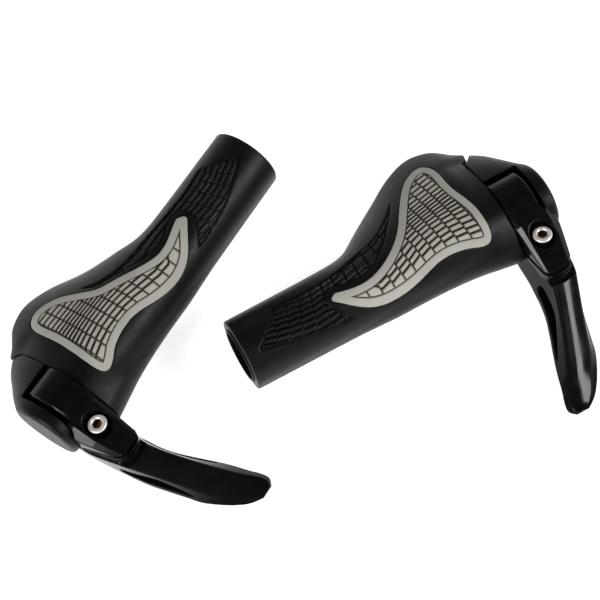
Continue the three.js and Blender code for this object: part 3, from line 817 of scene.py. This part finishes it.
def end_cap_mesh(notch, reach_shift):
    """The rubber end cap: a rounded disc, and a wing with a channel round the clamp's strap."""
    rounding = 2.4
    straight = CAP_END - rounding
    rows = [(x, 0.0) for x in np.linspace(CAP_START, straight, 26)]
    for k in range(1, 8):
        turn = math.pi / 2 * k / 7
        rows.append((straight + rounding * math.sin(turn), rounding * (1 - math.cos(turn))))
    body = swept_solid("cap", CAP_SECTIONS, rows, reach_shift)
    hollow = CLAMP_RADIUS + 0.35
    recess = turned("recess", [(120, 0), (120, hollow), (CAP_DISC_START, hollow), (CAP_DISC_START, 0)], 160)
    forward = cuboid("forward", (120, -9, -30), (CAP_DISC_START, 40, 30))
    channel = cuboid("channel", (120, -15.4, 4.5), (146.0, 40, 30))
    wedge = [
        (120, -28.5), (CAP_START, -28.5), (CAP_START + 4.7 + notch * 0.8, -36),
        (CAP_START + 5 + notch, -60), (120, -60),
    ]
    body = combine(body, [recess, forward, channel, prism("wedge", wedge, -30, 30)], "DIFFERENCE")
    spigot_end = CAP_DISC_START + 1.5
    spigot = [
        (SPIGOT_START, 0), (SPIGOT_START, 7.8), (SPIGOT_START + 3, SPIGOT_RADIUS), (134, SPIGOT_RADIUS),
        (134, 8), (136.4, 8), (136.4, SPIGOT_RADIUS), (spigot_end, SPIGOT_RADIUS), (spigot_end, 0),
    ]
    body = combine(body, [turned("spigot", spigot, 96)], "UNION")
    return rounded(body, 0.34, 4, BLACK_RUBBER)


def lofted(name, sections):
    """A closed body through polygons of equal counts."""
    count = len(sections[0])
    verts = [tuple(p) for section in sections for p in section]
    faces = [tuple(range(count)), tuple(range((len(sections) - 1) * count, len(sections) * count))]
    for i in range(len(sections) - 1):
        for k in range(count):
            n = (k + 1) % count
            faces.append((i * count + k, i * count + n, (i + 1) * count + n, (i + 1) * count + k))
    return outward(new_mesh(name, verts, faces, PAINT))


def horn_solid():
    """The horn: chamfered along each edge, its top falling away towards the outboard side."""
    sections = []
    rows = section_at(HORN_SECTIONS, np.linspace(HORN_SECTIONS[0][0], HORN_SECTIONS[-1][0], 120))
    for y, bottom_in, bottom_out, top_in, top_out, top, bottom in rows:
        c = min(1.6, (top - bottom) * 0.26)
        start, end = top_in + c * 0.7, top_out - c * 0.5
        section = [(bottom_in, y, bottom + c), (top_in, y, top - c * 0.7)]
        for k in range(9):
            t = k / 8
            fall = 0.6 * t + 1.7 * max(0.0, t - 0.35) ** 1.6 * c
            section.append((start + (end - start) * t, y, top - fall))
        section += [
            (top_out + c * 0.25, y, top - 0.5 - c * 1.45),
            (bottom_out, y, bottom + c),
            (bottom_out - c, y, bottom),
            (bottom_in + c, y, bottom),
        ]
        sections.append(section)
    return lofted("horn", sections)


def tongue_bevel(name, edge_at, out, widths, lower, fall):
    """What is cut from one long edge of the tongue to bevel it.

    edge_at gives the edge's x at a distance forward, out is 1 for the outboard edge and -1 for the
    inboard one, widths lists (distance forward, bevel width), and fall is how steep the bevel is.
    """
    sections = []
    for y, width in widths:
        edge = edge_at(y)
        top = 15.4 - (y - 4.2) * 0.267 - lower
        sections.append(
            [
                (edge + out * 4, y, top - (width + 4) * fall),
                (edge - out * width, y, top),
                (edge - out * (width + 4), y, top + 4 * fall),
                (edge + out * 4, y, top + 12),
            ]
        )
    return lofted(name, sections)


def tongue_solid():
    """The clamp's upper ear, with a bright bevel down its inboard edge and a falling outboard shoulder."""
    side = [
        (-2, 6), (-2, CLAMP_RADIUS - 0.2), (4.2, CLAMP_RADIUS - 0.6), (35.4, 7.1), (36.6, 6.2), (37.2, 3),
        (37.2, 0), (14, -1.4), (8, 2),
    ]
    plan = [
        (CLAMP_START, -4), (CLAMP_END - 1, -4), (CLAMP_END - 1, 6), (CLAMP_END, 8), (145.8, 9.2), (148, 11),
        (149, 13.4), (148.9, 17), (145.6, 32), (144.6, 34.2), (142.6, 35.6), (138.6, 36.4), (134.8, 35.9),
        (132.6, 34.6), (131.5, 32.6), (CLAMP_START, 10),
    ]
    body = combine(prism("tongue", side, 118, 158, "YZ"), [prism("plan", plan, -9, 31)], "INTERSECT")
    # The top falls away towards the outboard side.
    drop = cuboid("drop", (-20, -30, -6), (20, 30, 6))
    moved(drop, Matrix.Translation((152.8, 14, 19.2)) @ Matrix.Rotation(0.34, 4, "Y"))
    facet = tongue_bevel(
        "facet",
        edge_at=lambda y: CLAMP_START + max(0.0, y - 10) * 0.083,
        out=-1,
        widths=((7.5, 0.05), (11.5, 2.5), (35.6, 1.5), (40, 1.5)),
        lower=0,
        fall=0.8,
    )
    shoulder = tongue_bevel(
        "shoulder",
        edge_at=lambda y: 148.9 - max(0.0, y - 16) * 0.21,
        out=1,
        widths=((8, 0.02), (11.5, 2), (15, 2), (22, 0.7), (34, 0.05)),
        lower=1.7,
        fall=0.84,
    )
    return combine(body, [drop, facet, shoulder], "DIFFERENCE")


def bar_end_mesh():
    """The bar end in one piece: clamp ring, tongue and slotted horn."""
    edge = [(CLAMP_END - 1, CLAMP_RADIUS), (CLAMP_END, CLAMP_RADIUS - 0.85)]
    ring = turned("ring", [(CLAMP_START, 0), (CLAMP_START, CLAMP_RADIUS), *edge, (CLAMP_END, 0)], 160)
    body = combine(ring, [horn_solid(), tongue_solid()], "UNION")
    slot = [tuple(p) for p in smooth_outline(HORN_SLOT, 0.8)]
    split = cuboid("split", (-20, -9, -11.2), (20, 51, -9.2))
    # A valley parts the tongue's front end from the crest where the horn's top begins.
    valley = [
        (124, 36.2), (131.6, 34.4), (134.4, 36), (138.6, 36.6), (142.8, 35.8), (145, 34.3), (156, 34),
        (156, 37), (146, 37.6), (142.8, 38.8), (138.6, 39.5), (134, 39), (131, 38.4), (124, 38.8),
    ]
    bore = CORE_RADIUS + GAP
    disc, disc_start = CLAMP_RADIUS + 0.6, CAP_DISC_START - GAP
    cuts = [
        turned("bore", [(110, 0), (110, bore), (160, bore), (160, 0)], 128),
        turned("disc", [(disc_start, 0), (disc_start, disc), (160, disc), (160, 0)], 160),
        moved(split, BOLT_MATRIX),
        prism("slot", slot, 100, 160, "YZ"),
        prism("valley", valley, 0.9, 14),
        bolt_cylinder("counterbore", COUNTERBORE_RADIUS, -6.1, 12),
    ]
    return rounded(combine(body, cuts, "DIFFERENCE"), 0.25, 6, PAINT)


def core_mesh():
    """The nylon core: a tube with a chamfered mouth, slit four times into a collar at its outboard end."""
    profile = [
        (0, BORE_RADIUS + 0.3), (0.3, BORE_RADIUS), (CORE_LENGTH, BORE_RADIUS), (CORE_LENGTH, CORE_RADIUS),
        (0.5, CORE_RADIUS), (0.12, CORE_RADIUS - 0.15), (0, CORE_RADIUS - 0.45),
    ]
    mesh = turned("core", profile, 128, NYLON)
    slits = []
    for i in range(4):
        slit = cuboid("slit", (131, -1, 9), (151, 1, 15))
        slits.append(moved(slit, Matrix.Rotation((i + 0.5) * math.pi / 2, 4, "X")))
    mesh = combine(mesh, slits, "DIFFERENCE")
    mesh.materials.clear()
    mesh.materials.append(NYLON)
    mark_sharp(mesh, 40)
    return mesh


def bolt_mesh():
    """The socket-head bolt: rounded head with a dished top and a hex socket, and a threaded shank."""
    rim = 0.7
    dish = 0.45
    profile = [(-dish, 0), (-dish, 2.35), (0.0, 2.75), (0.0, HEAD_RADIUS - rim)]
    for k in range(1, 7):
        turn = math.pi / 2 * k / 6
        profile.append((-rim * (1 - math.cos(turn)), HEAD_RADIUS - rim + rim * math.sin(turn)))
    profile += [(-HEAD_HEIGHT + 0.2, HEAD_RADIUS), (-HEAD_HEIGHT, HEAD_RADIUS - 0.2)]
    profile.append((-HEAD_HEIGHT, SHANK_RADIUS))
    depth = -HEAD_HEIGHT - 4
    while depth > -BOLT_LENGTH + THREAD_PITCH:
        profile += [(depth, SHANK_RADIUS), (depth - THREAD_PITCH / 2, SHANK_RADIUS - 0.38)]
        depth -= THREAD_PITCH
    profile += [(-BOLT_LENGTH, SHANK_RADIUS - 0.6), (-BOLT_LENGTH, 0)]
    body = turned("bolt", profile, 96, STEEL)
    corners = [math.pi / 3 * k for k in range(6)]
    hexagon = [(HEX_RADIUS * math.cos(a), HEX_RADIUS * math.sin(a)) for a in corners]
    socket = moved(prism("hex", hexagon, -3.2, 2), Matrix.Rotation(math.pi / 2, 4, "Y"))
    socket.materials.clear()
    socket.materials.append(SOCKET_STEEL)
    body = combine(body, [outward(socket)], "DIFFERENCE", keep_materials=True)
    # The side of the head is painted black as shade: down in its counterbore it sees no light.
    body.materials.append(BLACKENED_AND_SHADE_STEEL)
    for face in body.polygons:
        if face.center.x < -0.9 and math.hypot(face.center.y, face.center.z) > 3:
            face.material_index = len(body.materials) - 1
    moved(body, BOLT_MATRIX @ Matrix.Rotation(-math.pi / 2, 4, "Y"))
    mark_sharp(body, 40)
    return outward(body)


def washer_mesh():
    """The thin washer under the bolt's head, with its rims broken."""
    top, bottom = -HEAD_HEIGHT - 0.15, -HEAD_HEIGHT - 0.8
    outer, inner = COUNTERBORE_RADIUS - GAP, SHANK_RADIUS + GAP
    profile = [
        (top, inner), (top, outer - 0.15), (top - 0.15, outer),
        (bottom + 0.1, outer), (bottom, outer - 0.1), (bottom, inner),
    ]
    mesh = turned("washer", profile, 96, BLACKENED_AND_SHADE_STEEL)
    moved(mesh, BOLT_MATRIX @ Matrix.Rotation(-math.pi / 2, 4, "Y"))
    mark_sharp(mesh, 40)
    return outward(mesh)


core = core_mesh()
horn = bar_end_mesh()
bolt = bolt_mesh()
washer = washer_mesh()

for side in SIDES:
    inlay_line = smooth_outline(INLAY_OUTLINE[side], 0.3)
    tread_line = smooth_outline(TREAD_OUTLINE[side], 0.3)
    reach = REACH_SHIFT[side]
    sleeve = sleeve_mesh(inlay_line, tread_line, reach, SLEEVE_CORNER[side])
    inlay = tread_patch(
        "inlay", inlay_line, reach, grey_joints(side), GREY_RUBBER,
        band=3.75, widths=(0.6, 0.74), depth=0.7, proud=0.12, lattice=0.25,
    )
    tread = tread_patch(
        "tread", tread_line, reach, black_joints(side), TREAD_RUBBER,
        band=0.85, widths=(0.55, 0.72), depth=0.9, proud=0.06, lattice=0.27,
    )
    cap = end_cap_mesh(NOTCH[side], reach)
    place(sleeve, side, f"{side}_sleeve", "rubber_sleeve", "grip")
    place(inlay, side, f"{side}_grey_inlay", "palm_inlay", "grip")
    place(tread, side, f"{side}_tread", "tread_panel", "grip")
    place(core, side, f"{side}_core", "grip_core", "grip")
    place(horn, side, f"{side}_horn", "bar_end", "bar_end")
    place(cap, side, f"{side}_cap", "end_cap", "cap")
    place(bolt, side, f"{side}_bolt", "clamp_bolt", "bolt")
    place(washer, side, f"{side}_washer", "bolt_washer", "bar_end")
    for node, material in (("cap_ring", BLACK_RUBBER), ("threaded_insert", STEEL)):
        item = frame["nodes"][f"{side}_{node}"]
        item.data.materials.clear()
        item.data.materials.append(material)


# ---------------------------------------------------------------- floor, lights and camera
floor_material, floor_tree, floor_shader = node_material("studio_floor", (0.6, 0.6, 0.6), 0.85)
floor_tree.links.new(
    ramp(floor_tree, noise(floor_tree, 3, 2), [(0.3, (0.595, 0.595, 0.595)), (0.7, (0.61, 0.61, 0.61))]),
    floor_shader.inputs["Base Color"],
)
floor_shader.inputs["Emission Color"].default_value = (1, 1, 1, 1)
floor_shader.inputs["Emission Strength"].default_value = 0.84
floor_mesh = bpy.data.meshes.new("floor")
floor_corners = [(-3, -3, -0.0002), (3, -3, -0.0002), (3, 3, -0.0002), (-3, 3, -0.0002)]
floor_mesh.from_pydata(floor_corners, [], [(0, 1, 2, 3)])
floor_mesh.materials.append(floor_material)
floor = bpy.data.objects.new("floor", floor_mesh)
bpy.context.scene.collection.objects.link(floor)


def world_studio():
    """A room with pale walls down low and a dim ceiling, so that gloss paint looks black from above."""
    world = bpy.data.worlds.new("studio")
    world.use_nodes = True
    tree = world.node_tree
    place_node = tree.nodes.new("ShaderNodeTexCoord")
    split = tree.nodes.new("ShaderNodeSeparateXYZ")
    tree.links.new(place_node.outputs["Generated"], split.inputs["Vector"])
    levels = [(0.0, 0.7), (0.12, 0.6), (0.3, 0.36), (0.5, 0.24), (0.72, 0.22), (0.9, 0.05)]
    stops = [(height, (level, level, level)) for height, level in levels]
    tree.links.new(ramp(tree, split.outputs["Z"], stops), tree.nodes["Background"].inputs["Color"])
    bpy.context.scene.world = world


def softbox(name, direction, distance, size, radiance):
    """A rectangular light that faces the grips, as bright as the radiance all over."""
    lamp = bpy.data.lights.new(name, "AREA")
    lamp.shape = "RECTANGLE"
    lamp.size, lamp.size_y = size
    lamp.energy = radiance * math.pi * size[0] * size[1]
    item = bpy.data.objects.new(name, lamp)
    item.location = Vector(direction).normalized() * distance
    item.rotation_euler = (-item.location).to_track_quat("-Z", "Y").to_euler()
    bpy.context.scene.collection.objects.link(item)


world_studio()
bpy.context.scene.view_settings.view_transform = "Standard"
softbox("key", (0.775, -0.12, 0.62), 1.2, (0.36, 0.27), 29)
softbox("left", (-0.62, -0.555, 0.55), 1.2, (0.26, 0.2), 32)
softbox("front", (-0.52, -0.79, 0.33), 1.2, (0.5, 0.14), 20)

# The camera looks along +Y and steeply down at a point between the two grips.
ELEVATION = math.radians(71.1)
DISTANCE = 0.742
right_origin = grip_frame("right")[0]
target = Vector((right_origin[0] + 0.0232, right_origin[1] - 0.0659, 0.01))
camera_data = bpy.data.cameras.new("camera")
camera_data.sensor_width = 36
camera_data.lens = 102.4
camera = bpy.data.objects.new("camera", camera_data)
camera.location = target + DISTANCE * Vector((0, -math.cos(ELEVATION), math.sin(ELEVATION)))
camera.rotation_euler = (target - camera.location).to_track_quat("-Z", "Y").to_euler()
bpy.context.scene.collection.objects.link(camera)
bpy.context.scene.camera = camera
